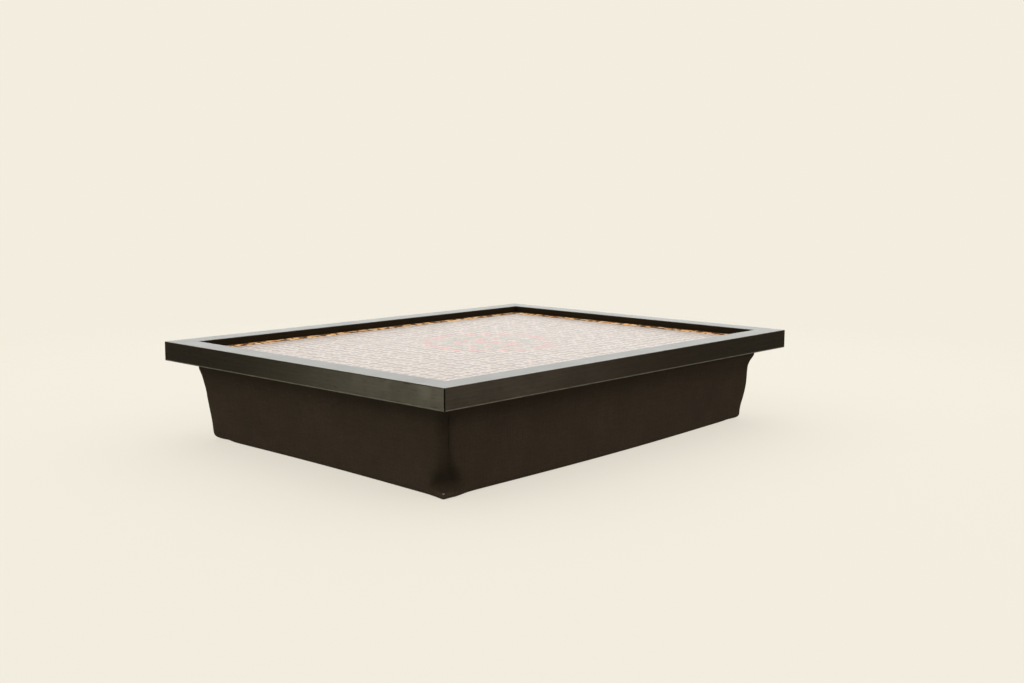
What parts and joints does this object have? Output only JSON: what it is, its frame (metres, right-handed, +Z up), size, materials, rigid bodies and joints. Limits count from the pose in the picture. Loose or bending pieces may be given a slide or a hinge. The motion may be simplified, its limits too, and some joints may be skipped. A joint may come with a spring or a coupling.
{
  "type": "lap tray",
  "caption": "Rectangular lap tray: a mitred black-brown wooden frame with a sunk printed board, over a tapering cloth bag filled with beads.",
  "frame": {"origin": "on the floor under the middle of the tray", "axes": "+X along the long rails, +Y along the short rails away from the front rail, +Z up"},
  "size_m": [0.43, 0.33, 0.082],
  "materials": {
    "rail_wood": "black-brown stain under satin lacquer, fine grain showing",
    "printed_laminate": "printed melamine laminate, satin to gloss",
    "backing_laminate": "plain matt laminate",
    "fibreboard": "raw fibreboard",
    "plywood": "raw plywood",
    "bag_cloth": "matt dark brown plain-weave cotton",
    "beads": "expanded polystyrene beads",
    "screw_steel": "yellow passivated screws",
    "nail_steel": "plain steel"
  },
  "bodies": {
    "root": {"rail_front": "rail_wood", "rail_right": "rail_wood", "rail_back": "rail_wood", "rail_left": "rail_wood", "corner_nails": "nail_steel", "tray_board": "fibreboard", "printed_laminate": "printed_laminate", "backing_laminate": "backing_laminate", "bag_board": "plywood", "bag_board_screws": "screw_steel", "bag_staples": "nail_steel", "bag_cover": "bag_cloth", "bead_fill": "beads"}
  },
  "joints": []
}
